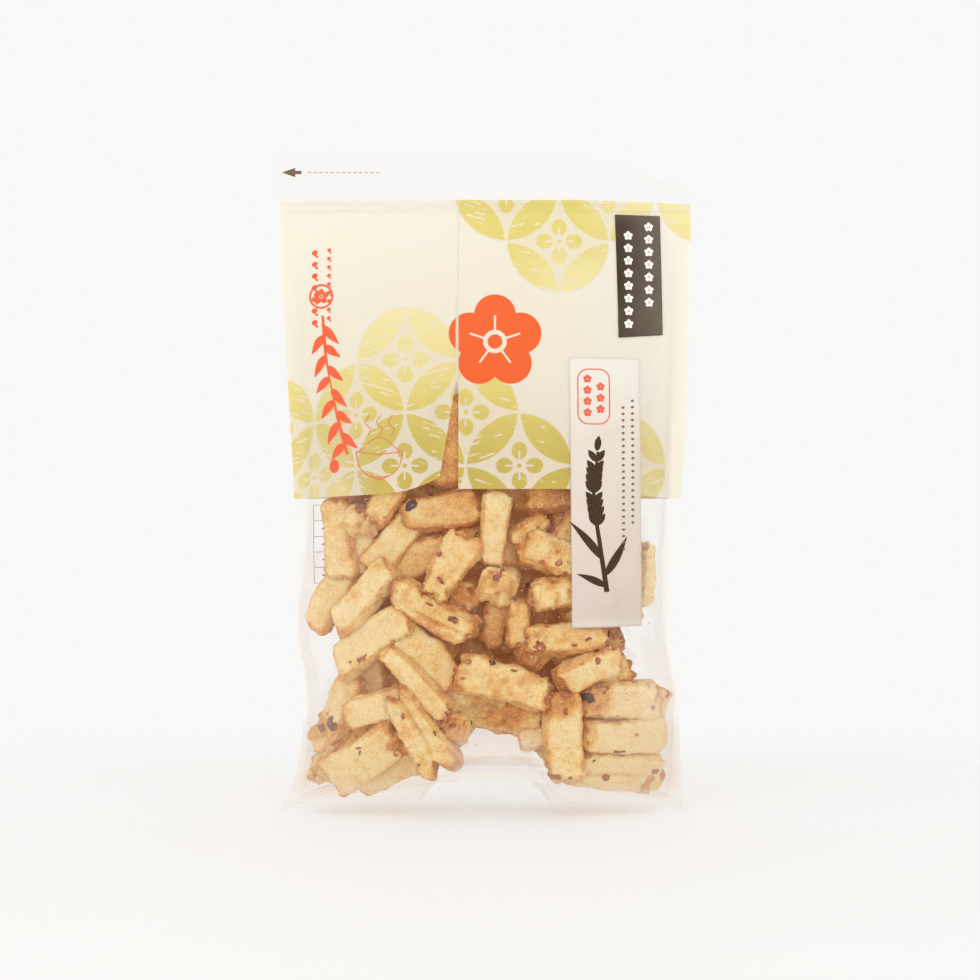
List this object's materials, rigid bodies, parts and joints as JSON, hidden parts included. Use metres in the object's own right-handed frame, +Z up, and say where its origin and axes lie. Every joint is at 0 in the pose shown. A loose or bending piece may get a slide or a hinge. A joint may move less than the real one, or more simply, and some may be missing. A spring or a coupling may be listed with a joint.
{
  "type": "pouch of rice crackers",
  "caption": "Clear stand-up pouch of fried almond rice cracker sticks, sealed at the edges, with a zip, a flat header, printed upper half and two front stickers.",
  "frame": {"origin": "middle of the pouch's footprint on the table", "axes": "+Z up the pouch, +X to its right seen from the front, -Y out of its printed front"},
  "size_m": [0.1599, 0.0558, 0.2531],
  "materials": {
    "film": "clear glossy film over golden sticks, cream print above",
    "label_dark": "satin dark brown sticker",
    "label_light": "matte pale paper sticker"
  },
  "bodies": {
    "root": {"pouch": "film", "label_dark": "label_dark", "label_light": "label_light"}
  },
  "joints": []
}
